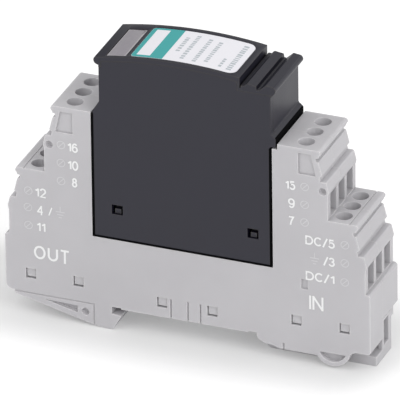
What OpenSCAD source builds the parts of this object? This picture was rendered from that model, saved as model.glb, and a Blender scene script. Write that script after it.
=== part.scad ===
// DIN rail surge arrester: a two-shell base with twelve screw terminals and a pull-out plug.
// X runs along the length, Y through the thickness, Z up from the rail seat. Millimetres.

/* [Base] */
// overall length of the base
base_len = 90; // [80:0.5:110]
// thickness of the base from broad face to broad face
base_w = 17.7; // [17:0.1:24]
// wall of the broad faces
wall = 1.7; // [1.2:0.05:2.2]
// where the two half shells part, from the middle of the thickness
seam_y = -0.8; // [-1.5:0.1:1.5]
// height of the upper terminal step over the rail seat
tier_z = 50; // [46:0.5:56]
// outward shift from the upper step to the lower one
tier_dx = 9.05; // [8:0.05:11]
// drop from the upper step to the lower one
tier_dz = 17.5; // [17.3:0.1:19]
// overhang of the end wall past the tip of the lower step
end_out = 2.85; // [2.4:0.05:4]

/* [Plug] */
// length of each terminal tower at its top, from the plug recess to the tip
tower_len = 9.9; // [9.6:0.1:12]
// how much thicker the right recess wall is than the left one
recess_off = 1.9; // [0:0.1:3]
// floor of the plug recess over the rail seat
recess_z = 17.9; // [17.4:0.1:18.6]
// gap left of the plug in its recess
plug_gap_l = 0.55; // [0.3:0.05:0.9]
// gap right of the plug in its recess
plug_gap_r = 0.7; // [0.3:0.05:0.9]
// gap under the plug
plug_gap_b = 0.3; // [0.3:0.05:1]
// how far the plug's broad faces lie behind those of the base
plug_inset = 0.1; // [0.05:0.05:0.5]
// highest point of the plug's curved roof
plug_top = 66.4; // [65:0.1:72]
// radius of the curved roof
roof_r = 105; // [80:1:160]
// wall of the plug's broad faces
plug_wall = 1.6; // [1.2:0.1:2]
// label thickness
label_t = 0.15; // [0.1:0.05:0.3]

/* [Terminals] */
// diameter of the screwdriver holes
access_d = 4; // [3.7:0.1:4.2]
// diameter of the screw heads
head_d = 3.5; // [3:0.1:3.6]
// diameter of the screw shanks
shank_d = 2.6; // [2:0.1:2.8]
// width of the wire entries
entry_w = 3.9; // [3.6:0.1:4]
// travel of a clamp cage from open to shut
cage_travel = 2.5; // [2:0.1:2.6]
// thickness of the busbars and blades
bar_t = 0.8; // [0.6:0.1:1]
// width of the busbars and blades
bar_w = 2; // [1.8:0.1:2.2]

/* [Rail and latch] */
// width of the rail that the base snaps on
rail_w = 35; // [34:0.5:36]
// thickness of the rail's flanges
flange_t = 1; // [1:0.1:1.5]
// free play of the rail between hook and base
rail_play = 0.8; // [0.4:0.1:1]
// depth of the hook and latch under the rail seat
foot_z = 5.65; // [5.2:0.05:7]
// width of the latch through the thickness
latch_w = 8.6; // [8:0.1:9]
// travel of the latch
latch_travel = 2.4; // [2:0.1:3]
// running gap round the latch
latch_gap = 0.3; // [0.2:0.05:0.5]

/* [Hidden] */
$fn = 48;
half_w = base_w / 2;
half_len = base_len / 2;
in_y = half_w - wall;
pitch = in_y - entry_w / 2;
slack = 0.2;
eps = 0.01;

// one step of the terminals: tip position of the upper and lower step
tip_x = half_len - end_out - tier_dx;
tip_r = 0.7;
groove_r = 0.55;
hole_in = 4.7;
wall_out = 1.75;
recess_left = tip_x - tower_len;
recess_right = recess_left - recess_off;
function step_x(tier) = tip_x + tier * tier_dx;
function step_z(tier) = tier_z - tier * tier_dz;
function screw_x(tier) = step_x(tier) - hole_in;
function row_y(row) = (row - 1) * pitch;

// levels in one terminal, counted down from the top of its step
head_h = 2.2;
head_gap = 0.1;
floor_dz = 17.15;
entry_dz = 11;
bar_dz = 11.6;
cage_top = 1.5;
cage_wall = 0.45;
cage_base = 1;
cage_len = 5.2;
cage_y = entry_w - 2 * slack;
cage_low = floor_dz - 0.15;
cage_high = bar_dz - 0.4 - cage_top;
chamber_dz = cage_high - cage_travel - slack;
seat_dz = chamber_dz - 1.2;
chamber_in = 4.4;
chamber_out = 3;
leg_in = chamber_in - 0.3;

// levels of the busbars under the plug
cavity_z0 = recess_z - 9.8;
cavity_z1 = recess_z - 2.2;
bar_z = [recess_z - 6.5, recess_z - 9.4];
fork_x = [12.5, 6.5];
prong_t = 0.5;
blade_gap = 0.1;
blade_low = recess_z - 5.2;
leg_x0 = fork_x[1] + 1.3;
plate_x = leg_x0 + bar_t + 0.2;
plate_y = 3;
plate_t = 0.6;
prong_top = cavity_z1 - 0.2;

// rail seat
rail_left = rail_w / 2 + rail_play / 2 + 0.8;
rail_right = rail_left - rail_play / 2 - 1.2;
hook_tip = rail_left - 2.3;
foot_x = rail_left + 4.6;
seat_step = 0.3;
flank_z = 2.75;
ring_x = half_len - 9.3;
ring_z = 0.5;
ring_r = 4.45;
ring_in = 3.4;
nose_x = rail_right - 2.1;
nose_z = flange_t + 0.4;
rib_x0 = rail_right + 6.9;
rib_x1 = rib_x0 + 6;
pocket_x = rib_x0 + 1;
post_x = pocket_x + 8.2;
post_t = 1.2;
eye_y1 = half_w - 3.6;
eye_z = 4.5;
post_z = foot_z - 1.45;

// snap hooks of the base: middle of each window on the front face
hook_out = half_len - 6.3;
hook_mid = screw_x(0) - 1.5;
hooks = [[-hook_out, 5.3], [-hook_mid, 5.3], [-6.2, 3.7], [6.2, 3.7], [hook_mid, 5.3], [hook_out, 5.3]];
hook_w = 2.5;
hook_h = 2.6;
hook_d = 1.4;
hook_deep = 0.35;

// plug outline levels
plug_l = recess_left - plug_gap_l;
plug_r = recess_right - plug_gap_r;
plug_b = recess_z + plug_gap_b;
plug_y = half_w - plug_inset;
roof_x = -1.5;
neck_x = recess_left - 2.1;
grip_z = plug_top - 4;
plateau_x = neck_x - 7.6;
roof_t = 1.2;
roof_rim = 0.85;
label_x = -neck_x + 7.5;
collar_out = 1.12;
collar_low = 1.1;
collar_gap = 0.4;
plug_windows = [[-plug_l + 5.65, plug_b + 7.55], [plug_r - 4.2, plug_b + 7.55]];
board_z = plug_b + 4.2;
board_t = 1.6;
ledge_x = fork_x[0] + bar_t / 2 + 0.5;
post_d = 0.6;
blade_top = board_z + board_t + 0.8;
tube_x = (fork_x[0] + fork_x[1]) / 2;
tube_lift = 4.4;
tube_z = board_z + board_t + tube_lift;
tube_half = 2.6;
tube_d = 7.6;
small_x = tube_x - 6.6;
cap_t = 1.6;
foot_w = 1.2;
small_y = 3.6;
lead_d = 0.8;
resistor_d = 2.6;
resistor_h = 8;
diode_d = 4.8;
diode_h = 6;
stand_h = 3.2;
lead_h = 13.5;

// Points of an arc in the outline plane, from angle a0 to a1 in six steps.
function arc(cx, cz, r, a0, a1) = [
    for (i = [0:6])
        let (a = a0 + (a1 - a0) * i / 6)
        [cx + r * cos(a), cz + r * sin(a)]];

// A slab between two Y planes from an outline drawn in X and Z.
module slab(y0, y1) {
    translate([0, y1, 0])
        rotate([90, 0, 0])
            linear_extrude(y1 - y0)
                children();
}

// A box from its low corner to its high corner.
module block(low, high) {
    translate(low)
        cube(high - low);
}

// Mirrors its children to the left end when side is -1.
module on_side(side) {
    if (side < 0)
        mirror([1, 0, 0])
            children();
    else
        children();
}

// Outer edge of one terminal step, from its top round the tip, groove, slope, slot and lip to the entry wall.
function step_edge(tx, tz) = concat(
    arc(tx - tip_r, tz - tip_r, tip_r, 90, -60),
    arc(tx - 0.7, tz - 2.4, groove_r, 70, 285),
    [[tx - 0.42, tz - 3.2], [tx + 0.35, tz - 6.2], [tx - 0.28, tz - 6.75], [tx - 0.05, tz - 7.85]],
    arc(tx + 1.1, tz - 8.25, 0.4, 90, 20),
    [[tx + 2, tz - 10.3], [tx + 1.95, tz - 10.7], [tx + wall_out, tz - 11.4], [tx + wall_out, tz - tier_dz]]);

// Both steps and the end wall of the right side, from the top of the recess wall down to the end wall's foot.
function side_edge(inner) = concat(
    [[inner, step_z(0)]],
    step_edge(step_x(0), step_z(0)),
    step_edge(step_x(1), step_z(1)),
    [[half_len - 0.4, step_z(1) - tier_dz - 0.1], [half_len, step_z(1) - tier_dz - 0.5]]);

function mirrored(points) = [for (i = [len(points) - 1:-1:0]) [-points[i][0], points[i][1]]];

// Underside from the right end to the left end: ring tab, flank, rail seat, fixed hook and sloping foot.
function under_edge() = concat(
    arc(half_len - 0.6, -ring_z + 0.6, 0.6, 0, -90),
    [[ring_x + ring_r + 1.2, -ring_z]],
    arc(ring_x, -ring_z, ring_r, -8, -149),
    [[rail_right + 5.5, -flank_z], [rail_right + 4, -2.2], [rail_right + 2, -2],
     [rail_right + 0.5, -1.3], [rail_right, -0.4],
     [rail_right, seat_step], [nose_x, seat_step], [nose_x, 0],
     [-hook_tip, 0], [-hook_tip, seat_step], [-rail_left, seat_step], [-rail_left, -flange_t - 0.5],
     [-hook_tip, -flange_t - 0.8], [-rail_left + 0.1, -foot_z], [-rail_left - 0.5, -foot_z],
     [-foot_x, -foot_z + 0.45], [-half_len + 2.2, -0.45], [-half_len + 2, 0.45]],
    arc(-half_len + 1.6, 2.05, 1.6, 270, 180));

module base_outline() {
    polygon(concat(
        side_edge(recess_right),
        under_edge(),
        mirrored(side_edge(recess_left)),
        [[-recess_left, recess_z], [recess_right, recess_z]]));
}

// Everything cut away for one terminal on the right side.
module terminal_space(tier, row) {
    sx = screw_x(tier);
    tz = step_z(tier);
    y = row_y(row);
    half = entry_w / 2;
    translate([sx, y, tz - seat_dz])
        cylinder(d = access_d, h = seat_dz + 1);
    translate([sx, y, tz - chamber_dz - 1])
        cylinder(d = shank_d + 0.7, h = chamber_dz - seat_dz + 2);
    block([sx - chamber_in, y - half, tz - floor_dz], [sx + chamber_out, y + half, tz - chamber_dz]);
    block([sx, y - half, tz - floor_dz], [sx + chamber_out + 6, y + half, tz - entry_dz]);
    block([sx - chamber_in, y - bar_w / 2 - slack, bar_z[tier] - bar_t],
        [sx - leg_in + bar_t + 0.3, y + bar_w / 2 + slack, tz - floor_dz + 1]);
    if (tier == 1)
        block([screw_x(0) - chamber_in, y - bar_w / 2 - slack, bar_z[1] - bar_t],
            [sx - leg_in + bar_t + 0.3, y + bar_w / 2 + slack, bar_z[1] + bar_t]);
}

// Shallow marks on the broad faces that both ends share.
module face_marks() {
    slab(-half_w - 1, -half_w + 0.4)
        polygon([[tip_x - 5.4, tier_z - 1.2], [tip_x - 2.3, tier_z - 1.2],
            [tip_x - 1.15, tier_z - 6.6], [tip_x - 5.4, tier_z - 6.6]]);
    slab(-half_w - 1, -half_w + 1.2)
        translate([tip_x + 0.5, tier_z - 10.25])
            circle(d = 1.9);
}

// Shaft and eye space for the latch, open below and at the right end.
module latch_space() {
    half = latch_w / 2 + latch_gap;
    block([nose_x - 1, -half, -foot_z - 1], [half_len + 1, half, -latch_gap]);
    block([rib_x0 - 0.6, -half - 1.4, -2.2], [rib_x1 + latch_travel + 1, half + 1.4, -0.6]);
    block([ring_x - ring_r - 0.5, -half_w + 2, -foot_z - 1],
        [ring_x + ring_r + 0.5, half_w - 2, -flank_z + 0.4]);
    block([half_len - 3.4, seam_y, -foot_z - 1], [half_len + 1, eye_y1 + 1, eye_z + 0.5]);
    block([half_len - 4.2, seam_y, -foot_z - 1], [half_len + 1, half_w + 1, 1.4]);
    block([half_len - 1.1, eye_y1, 0], [half_len + 1, half_w + 1, eye_z + 0.5]);
    for (face = [[-half_w - 1, -half_w + 1.2], [half_w - 1.2, half_w + 1]])
        slab(face[0], face[1])
            intersection() {
                translate([ring_x, -ring_z])
                    circle(r = ring_in);
                translate([ring_x - 6, -ring_z - 1.15 - 6])
                    square([12, 6]);
            }
}

// The whole moulding before it is parted into two shells.
module base_moulding() {
    difference() {
        slab(-half_w, half_w)
            base_outline();
        for (tier = [0, 1])
            for (row = [0:2])
                for (side = [-1, 1])
                    on_side(side)
                        terminal_space(tier, row);
        for (side = [-1, 1])
            on_side(side) {
                for (face = [0, 1])
                    mirror([0, face, 0])
                        face_marks();
                block([step_x(1) - 2.2, -half_w - 1, step_z(1) - 0.2],
                    [step_x(1) - 1.9, half_w + 1, step_z(1) + 1]);
            }
        block([-screw_x(0) + leg_in - bar_t - 0.3, -in_y, cavity_z0],
            [screw_x(0) - leg_in + bar_t + 0.3, in_y, cavity_z1]);
        for (x = [-fork_x[0], -fork_x[1], fork_x[1], fork_x[0]])
            for (row = [0:2])
                block([x - bar_t / 2 - 0.3, row_y(row) - bar_w / 2 - 0.3, cavity_z1 - 1],
                    [x + bar_t / 2 + 0.3, row_y(row) + bar_w / 2 + 0.3, recess_z + 1]);
        block([recess_right - 1, -half_w - 1, tier_z - collar_low - 0.3],
            [neck_x + collar_out + collar_gap, half_w + 1, tier_z + 1]);
        latch_space();
        contact_space();
        for (face = [0, 1])
            mirror([0, face, 0])
                foot_marks();
        slits();
    }
}

// Space for the rail contact: a seat for its plate and two shafts for its legs.
module contact_space() {
    block([-plate_x - slack, -plate_y - slack, -1], [plate_x + slack, plate_y + slack, plate_t + 0.3]);
    for (side = [-1, 1])
        on_side(side)
            block([leg_x0 - 2 * slack, -bar_w / 2 - 2 * slack, 0],
                [plate_x + slack, bar_w / 2 + 2 * slack, cavity_z0 + 1]);
}

// Groove, triangular pocket and round pocket on each broad face of the sloping foot.
module foot_marks() {
    slab(-half_w - 1, -half_w + 0.2) {
        translate([-half_len + 2, 0])
            square([half_len - 2 - foot_x + 0.4, 0.4]);
        translate([-foot_x, -foot_z - 1])
            square([0.4, foot_z + 1.4]);
    }
    slab(-half_w - 1, -half_w + 1)
        polygon([[-half_len + 9.4, -0.75], [-foot_x - 3.9, -0.95], [-foot_x - 3.9, -2.8]]);
    slab(-half_w - 1, -half_w + 1.2)
        translate([-foot_x - 1.95, -2.17])
            circle(d = 1.9);
}

// Slits in the front wall under the plug, and a slot beside the latch.
module slits() {
    for (x = [-4, 0.2, 3.3])
        block([x - 0.2, -half_w - 1, -1], [x + 0.2, -half_w + 0.7, 5]);
    block([rail_right + 6.35, -half_w - 1, -flank_z - 1], [rail_right + 6.85, -half_w + 0.4, -1.2]);
}

// Windows and tunnels for the snap hooks, cut from the front shell.
module hook_windows() {
    for (h = hooks) {
        block([h[0] - hook_w / 2, -half_w - 1, h[1] - hook_h / 2],
            [h[0] + hook_w / 2, -half_w + hook_d, h[1] + hook_h / 2]);
        block([h[0] - 1.1, -half_w, h[1] - 0.95], [h[0] + 1.1, seam_y + 1, h[1] + 0.95]);
    }
    block([screw_x(0) - 0.2, -half_w - 1, 13.8], [screw_x(0) + 1.4, -half_w + 0.4, 16.4]);
}

// Snap hooks that stand on the rear shell and show in the windows.
module hook_arms() {
    for (h = hooks) {
        block([h[0] - 0.9, -half_w + hook_deep, h[1] - 0.75], [h[0] + 0.9, seam_y + 0.5, h[1] + 0.75]);
        block([h[0] - hook_w / 2 + slack, -half_w + hook_deep, h[1] - hook_h / 2 + 2 * slack],
            [h[0] + hook_w / 2 - slack, -half_w + hook_d - 0.1, h[1] + hook_h / 2 - slack]);
    }
}

module base_front_shell() {
    difference() {
        intersection() {
            base_moulding();
            block([-half_len - 1, -half_w - 1, -foot_z - 2], [half_len + 1, seam_y, tier_z + 2]);
        }
        hook_windows();
    }
}

module base_rear_shell() {
    intersection() {
        base_moulding();
        block([-half_len - 1, seam_y, -foot_z - 2], [half_len + 1, half_w + 1, tier_z + 2]);
    }
    hook_arms();
    block([post_x, seam_y, -post_z], [post_x + post_t, 1.6, 0]);
}

// Captive terminal screw with a slotted head.
module terminal_screw(side, tier, row) {
    on_side(side)
        translate([screw_x(tier), row_y(row), step_z(tier) - seat_dz + head_gap])
            difference() {
                union() {
                    cylinder(d = head_d, h = head_h);
                    translate([0, 0, seat_dz - head_gap - bar_dz + 0.1])
                        cylinder(d = shank_d, h = bar_dz - seat_dz + head_gap);
                }
                translate([-head_d, -0.3, head_h - 0.9])
                    cube([2 * head_d, 0.6, 1]);
            }
}

// Rising clamp cage: a rectangular loop with a threaded top, open along X for the wire and the busbar.
module clamp_cage(side, tier, row) {
    on_side(side)
        translate([screw_x(tier), row_y(row), step_z(tier)])
            difference() {
                block([-cage_len / 2, -cage_y / 2, -cage_low], [cage_len / 2, cage_y / 2, -cage_high]);
                block([-cage_len, -cage_y / 2 + cage_wall, -cage_low + cage_base],
                    [cage_len, cage_y / 2 - cage_wall, -cage_high - cage_top]);
                translate([0, 0, -cage_low])
                    translate([0, 0, cage_base + 1])
                        cylinder(d = shank_d + 0.3, h = cage_low);
            }
}

// Three bent strips from the clamps of one step to fork sockets under the plug.
module busbars(side, tier) {
    leg_x = screw_x(tier) - leg_in;
    top = step_z(tier) - bar_dz;
    low = bar_z[tier];
    fx = fork_x[tier];
    out = bar_t / 2 + blade_gap + prong_t;
    on_side(side)
        for (row = [0:2])
            slab(row_y(row) - bar_w / 2, row_y(row) + bar_w / 2)
                difference() {
                    union() {
                        translate([leg_x, top - bar_t])
                            square([screw_x(tier) + 1.8 - leg_x, bar_t]);
                        translate([leg_x, low - bar_t / 2])
                            square([bar_t, top - low + bar_t / 2]);
                        translate([fx - out, low - bar_t / 2])
                            square([leg_x + bar_t - fx + out, bar_t]);
                        translate([fx - out, low - bar_t / 2])
                            square([2 * out, prong_top - low + bar_t / 2]);
                    }
                    translate([fx - out + prong_t, low + bar_t / 2])
                        square([2 * out - 2 * prong_t, prong_top]);
                }
}

// Sheet metal plate at the rail seat with two legs up to the middle lower busbars.
module rail_contact() {
    block([-plate_x, -plate_y, 0], [plate_x, plate_y, plate_t]);
    for (side = [-1, 1])
        on_side(side)
            block([leg_x0, -bar_w / 2, 0], [leg_x0 + bar_t, bar_w / 2, bar_z[1] - bar_t / 2]);
}

// Rail latch: nose under the rail's flange, guided bar, spring pocket and upstanding eye.
module rail_latch() {
    half = latch_w / 2;
    end = half_len - 0.2;
    difference() {
        union() {
            slab(-half, half)
                polygon([[nose_x + 0.4, -nose_z], [rail_right + 0.6, -nose_z],
                    [rail_right + 2, -2 * latch_gap], [half_len - 6, -2 * latch_gap],
                    [half_len - 5.4, -3.2], [end, -3.2], [end, -foot_z],
                    [nose_x + 3.6, -foot_z], [nose_x, -2.1]]);
            block([rib_x0, -half - 1.1, -1.9], [rib_x1, half + 1.1, -0.9]);
            block([end - 1.2, seam_y + latch_gap + 0.1, -foot_z], [end, eye_y1, eye_z]);
        }
        block([pocket_x, -2, -foot_z + 1.2], [post_x + post_t + 0.1, 2, 1]);
        block([end - 2, seam_y + latch_gap + 1.1, -2.5], [end + 1, eye_y1 - 1.8, eye_z - 0.6]);
        block([end - 6.3, -2.2, -foot_z - 1], [end - 2.8, 2.2, 1]);
    }
}

// Serpentine spring of flat strip between the latch and a post of the base.
module latch_spring() {
    n = 5;
    strip = 0.35;
    start = pocket_x + 0.05;
    step = (post_x - start - strip) / n;
    tall = post_z - 0.8;
    slab(-1.6, 1.6)
        for (i = [0:n - 1]) {
            translate([start + i * step, -post_z])
                square([strip, tall]);
            translate([start + i * step, i % 2 == 0 ? -post_z : -0.8 - strip])
                square([step + strip, strip]);
            translate([start + (i + 1) * step, -post_z])
                square([strip, tall]);
        }
}

// Outline of the plug: shoulder, bead, curved roof, ribbed grip, lip and collar.
module plug_outline() {
    intersection() {
        polygon(concat(
            [[-plug_l, plug_b], [-plug_l, tier_z - 0.2], [-plug_l - 0.25, tier_z + 0.2],
             [-neck_x, tier_z + 3.1], [-neck_x, grip_z + 0.1]],
            arc(-neck_x - 0.1, grip_z + 1.25, 1.1, 250, 105),
            [[-neck_x + 0.6, plug_top], [plateau_x, plug_top],
             [plateau_x, grip_z + 0.4], [plateau_x + 0.3, grip_z + 0.4],
             [plateau_x + 0.3, grip_z + 1.05], [plateau_x + 1.1, grip_z + 1.05],
             [plateau_x + 1.5, grip_z + 1.5], [plateau_x + 1.85, grip_z + 1.76],
             [plateau_x + 4.05, grip_z + 1.45], [plateau_x + 4.2, grip_z + 0.56],
             [plateau_x + 4.7, grip_z + 0.5], [plateau_x + 6.05, grip_z + 1.7],
             [plateau_x + 6.45, grip_z + 2.07]],
            arc(neck_x + 0.25, grip_z + 0.95, 0.95, 72, -40),
            [[neck_x - 0.05, grip_z - 0.9], [neck_x - 0.05, tier_z + 2.4],
             [neck_x + 0.1, tier_z + 2], [neck_x + 0.6, tier_z + 1.65]],
            arc(neck_x + collar_out - 0.6, tier_z + 0.9, 0.6, 62, 0),
            [[neck_x + collar_out, tier_z - collar_low + 0.15],
             [neck_x + collar_out - 0.15, tier_z - collar_low],
             [plug_r + 0.4, tier_z - collar_low], [plug_r, tier_z - collar_low - 0.4], [plug_r, plug_b]]));
        union() {
            translate([roof_x, plug_top - roof_r])
                circle(r = roof_r, $fn = 96);
            translate([plateau_x, grip_z])
                square([neck_x - plateau_x + 3, 3]);
        }
    }
}

// The part of the outline that the front cover fills, under the roof and the grips.
module cover_outline() {
    difference() {
        intersection() {
            plug_outline();
            translate([roof_x, plug_top - roof_r])
                circle(r = roof_r - roof_t, $fn = 96);
        }
        translate([plateau_x - 0.6, grip_z - 0.4])
            square([20, 10]);
        translate([-neck_x - 5, grip_z - 0.4])
            square([5.6, 10]);
    }
}

// Prism over the label or window in plan, with its own corner radius at the left and at the right.
module plan_prism(x0, x1, y0, y1, left_r, right_r) {
    translate([0, 0, tier_z])
        linear_extrude(plug_top) {
            translate([x0 + left_r, y0])
                square([x1 - x0 - left_r - right_r, y1 - y0]);
            translate([x0, y0 + left_r])
                square([left_r + eps, y1 - y0 - 2 * left_r]);
            translate([x1 - right_r - eps, y0 + right_r])
                square([right_r + eps, y1 - y0 - 2 * right_r]);
            for (y = [y0 + left_r, y1 - left_r])
                translate([x0 + left_r, y])
                    circle(r = left_r);
            for (y = [y0 + right_r, y1 - right_r])
                translate([x1 - right_r, y])
                    circle(r = right_r);
        }
}

// Curved layer of the roof between two depths.
module roof_layer(deep, high) {
    slab(-half_w, half_w)
        translate([roof_x, plug_top - roof_r])
            difference() {
                circle(r = roof_r - high, $fn = 96);
                circle(r = roof_r - deep, $fn = 96);
            }
}

module label_plan(grow) {
    plan_prism(label_x - grow, plateau_x - 1.6 + grow,
        -plug_y + roof_rim - grow, plug_y - 1.65 + grow, 0.9 + grow, 2 + grow);
}

module window_plan(grow) {
    plan_prism(-neck_x + 1.7 - grow, label_x - 1.1 + grow,
        -plug_y + roof_rim - grow, plug_y - 2.75 + grow, 0.3 + grow, 0.3 + grow);
}

module plug_body() {
    difference() {
        slab(-plug_y, plug_y)
            plug_outline();
        slab(-plug_y - 1, -plug_y + plug_wall)
            cover_outline();
        block([-neck_x + plug_wall, -plug_y + plug_wall - eps, plug_b + plug_wall],
            [neck_x - plug_wall - 0.6, plug_y - plug_wall, grip_z - 0.6]);
        intersection() {
            roof_layer(label_t, -1);
            label_plan(0.1);
        }
        intersection() {
            roof_layer(0.8, -1);
            window_plan(0.1);
        }
        for (x = [-fork_x[0], -fork_x[1], fork_x[1], fork_x[0]])
            for (row = [0:2])
                block([x - bar_t / 2 - 0.1, row_y(row) - bar_w / 2 - 0.1, plug_b - 1],
                    [x + bar_t / 2 + 0.1, row_y(row) + bar_w / 2 + 0.1, plug_b + plug_wall + 1]);
    }
    for (w = plug_windows) {
        block([w[0] - 0.7, -plug_y + plug_wall, plug_b + plug_wall - 1],
            [w[0] + 0.9, -plug_y + plug_wall + post_d, w[1] + 0.3]);
        block([w[0] - 0.7, -plug_y + 0.5, w[1] - 1.05],
            [w[0] + 0.8, -plug_y + plug_wall + post_d, w[1] + 0.1]);
    }
    for (x = [[-neck_x + 1.5, -ledge_x], [ledge_x, neck_x - 2.1]])
        block([x[0], -plug_y + plug_wall, board_z - 1.4], [x[1], plug_y - 1, board_z]);
}

module plug_cover() {
    difference() {
        slab(-plug_y, -plug_y + plug_wall)
            cover_outline();
        for (w = plug_windows)
            block([w[0] - 1.33, -plug_y - 1, w[1] - 1.2], [w[0] + 1.33, -plug_y + 3, w[1] + 1.2]);
    }
}

module plug_label() {
    intersection() {
        roof_layer(label_t, 0);
        label_plan(0);
    }
}

module status_window() {
    intersection() {
        roof_layer(0.8, 0.1);
        window_plan(0);
    }
}

module circuit_board() {
    difference() {
        block([-neck_x + plug_wall + slack, -plug_y + plug_wall + 0.4, board_z],
            [neck_x - plug_wall - 0.6 - slack, plug_y - plug_wall - slack, board_z + board_t]);
        for (x = [-fork_x[0], -fork_x[1], fork_x[1], fork_x[0]])
            for (row = [0:2])
                block([x - bar_t / 2, row_y(row) - bar_w / 2, board_z - 1],
                    [x + bar_t / 2, row_y(row) + bar_w / 2, board_z + 3]);
        for (w = plug_windows)
            block([w[0] - 1.2, -plug_y, board_z - 1],
                [w[0] + 1.2, -plug_y + plug_wall + post_d + slack, board_z + 3]);
    }
}

module contact_blades() {
    for (x = [-fork_x[0], -fork_x[1], fork_x[1], fork_x[0]])
        for (row = [0:2])
            block([x - bar_t / 2, row_y(row) - bar_w / 2, blade_low],
                [x + bar_t / 2, row_y(row) + bar_w / 2, blade_top]);
}

// Gas discharge tubes lie across the board.
module gas_tube_bodies() {
    for (x = [-tube_x, tube_x])
        translate([x, -tube_half, tube_z])
            rotate([-90, 0, 0])
                cylinder(d = tube_d, h = 2 * tube_half);
}

module gas_tube_caps() {
    for (x = [-tube_x, tube_x])
        for (y = [-tube_half - cap_t, tube_half]) {
            translate([x, y, tube_z])
                rotate([-90, 0, 0])
                    cylinder(d = tube_d + 0.4, h = cap_t);
            block([x - foot_w / 2, y, board_z + board_t], [x + foot_w / 2, y + cap_t, tube_z]);
        }
}

module series_resistors() {
    for (x = [-small_x, small_x])
        translate([x, -small_y, board_z + board_t]) {
            cylinder(d = lead_d, h = lead_h);
            translate([0, 0, stand_h])
                cylinder(d = resistor_d, h = resistor_h);
        }
}

module suppressor_diodes() {
    for (x = [-small_x, small_x])
        translate([x, small_y, board_z + board_t]) {
            cylinder(d = lead_d, h = lead_h);
            translate([0, 0, stand_h])
                cylinder(d = diode_d, h = diode_h);
        }
}

pale = [0.75, 0.74, 0.75];
black = [0.06, 0.06, 0.065];
steel = [0.62, 0.63, 0.65];
copper = [0.72, 0.52, 0.36];

color(pale) base_front_shell();
color(pale) base_rear_shell();
color(steel) terminal_screw(1, 0, 0);  // screw_in_upper_1
color(steel) terminal_screw(1, 0, 1);  // screw_in_upper_2
color(steel) terminal_screw(1, 0, 2);  // screw_in_upper_3
color(steel) terminal_screw(1, 1, 0);  // screw_in_lower_1
color(steel) terminal_screw(1, 1, 1);  // screw_in_lower_2
color(steel) terminal_screw(1, 1, 2);  // screw_in_lower_3
color(steel) terminal_screw(-1, 0, 0);  // screw_out_upper_1
color(steel) terminal_screw(-1, 0, 1);  // screw_out_upper_2
color(steel) terminal_screw(-1, 0, 2);  // screw_out_upper_3
color(steel) terminal_screw(-1, 1, 0);  // screw_out_lower_1
color(steel) terminal_screw(-1, 1, 1);  // screw_out_lower_2
color(steel) terminal_screw(-1, 1, 2);  // screw_out_lower_3
color(steel) clamp_cage(1, 0, 0);  // cage_in_upper_1
color(steel) clamp_cage(1, 0, 1);  // cage_in_upper_2
color(steel) clamp_cage(1, 0, 2);  // cage_in_upper_3
color(steel) clamp_cage(1, 1, 0);  // cage_in_lower_1
color(steel) clamp_cage(1, 1, 1);  // cage_in_lower_2
color(steel) clamp_cage(1, 1, 2);  // cage_in_lower_3
color(steel) clamp_cage(-1, 0, 0);  // cage_out_upper_1
color(steel) clamp_cage(-1, 0, 1);  // cage_out_upper_2
color(steel) clamp_cage(-1, 0, 2);  // cage_out_upper_3
color(steel) clamp_cage(-1, 1, 0);  // cage_out_lower_1
color(steel) clamp_cage(-1, 1, 1);  // cage_out_lower_2
color(steel) clamp_cage(-1, 1, 2);  // cage_out_lower_3
color(copper) busbars(1, 0);  // busbars_in_upper
color(copper) busbars(1, 1);  // busbars_in_lower
color(copper) busbars(-1, 0);  // busbars_out_upper
color(copper) busbars(-1, 1);  // busbars_out_lower
color(steel) rail_contact();
color(pale) rail_latch();
color(steel) latch_spring();
color(black) plug_body();
color(black) plug_cover();
color([0.93, 0.93, 0.94]) plug_label();
color([0.6, 0.58, 0.61]) status_window();
color([0.1, 0.35, 0.2]) circuit_board();
color(copper) contact_blades();
color([0.9, 0.88, 0.84]) gas_tube_bodies();
color(steel) gas_tube_caps();
color([0.35, 0.5, 0.6]) series_resistors();
color([0.1, 0.1, 0.1]) suppressor_diodes();
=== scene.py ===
"""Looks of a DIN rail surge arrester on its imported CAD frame: finishes, print, spring, stage and light."""
import math

import bmesh
import bpy
import numpy as np
from mathutils import Matrix, Vector


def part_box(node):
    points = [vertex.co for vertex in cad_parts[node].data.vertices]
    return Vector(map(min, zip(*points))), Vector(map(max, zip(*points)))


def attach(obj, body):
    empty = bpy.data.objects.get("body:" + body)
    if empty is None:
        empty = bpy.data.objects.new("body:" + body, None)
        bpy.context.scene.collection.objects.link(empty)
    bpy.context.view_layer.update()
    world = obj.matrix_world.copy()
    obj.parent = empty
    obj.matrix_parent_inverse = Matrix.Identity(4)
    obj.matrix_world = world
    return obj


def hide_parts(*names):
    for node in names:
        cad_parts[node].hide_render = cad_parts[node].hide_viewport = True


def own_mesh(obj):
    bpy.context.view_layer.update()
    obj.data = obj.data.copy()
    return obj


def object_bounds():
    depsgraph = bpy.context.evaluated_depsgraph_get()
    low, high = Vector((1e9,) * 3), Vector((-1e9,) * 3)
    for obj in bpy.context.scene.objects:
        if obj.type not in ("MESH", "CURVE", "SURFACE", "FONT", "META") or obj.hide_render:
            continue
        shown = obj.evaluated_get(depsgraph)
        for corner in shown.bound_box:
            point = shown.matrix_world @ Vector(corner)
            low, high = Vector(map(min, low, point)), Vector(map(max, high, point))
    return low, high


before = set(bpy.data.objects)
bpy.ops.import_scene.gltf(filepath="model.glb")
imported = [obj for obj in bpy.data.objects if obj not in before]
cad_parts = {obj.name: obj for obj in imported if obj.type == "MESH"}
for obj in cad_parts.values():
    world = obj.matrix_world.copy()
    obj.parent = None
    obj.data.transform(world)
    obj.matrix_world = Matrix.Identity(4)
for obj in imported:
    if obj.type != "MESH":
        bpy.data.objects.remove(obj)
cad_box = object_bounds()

MM = 0.001

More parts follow.
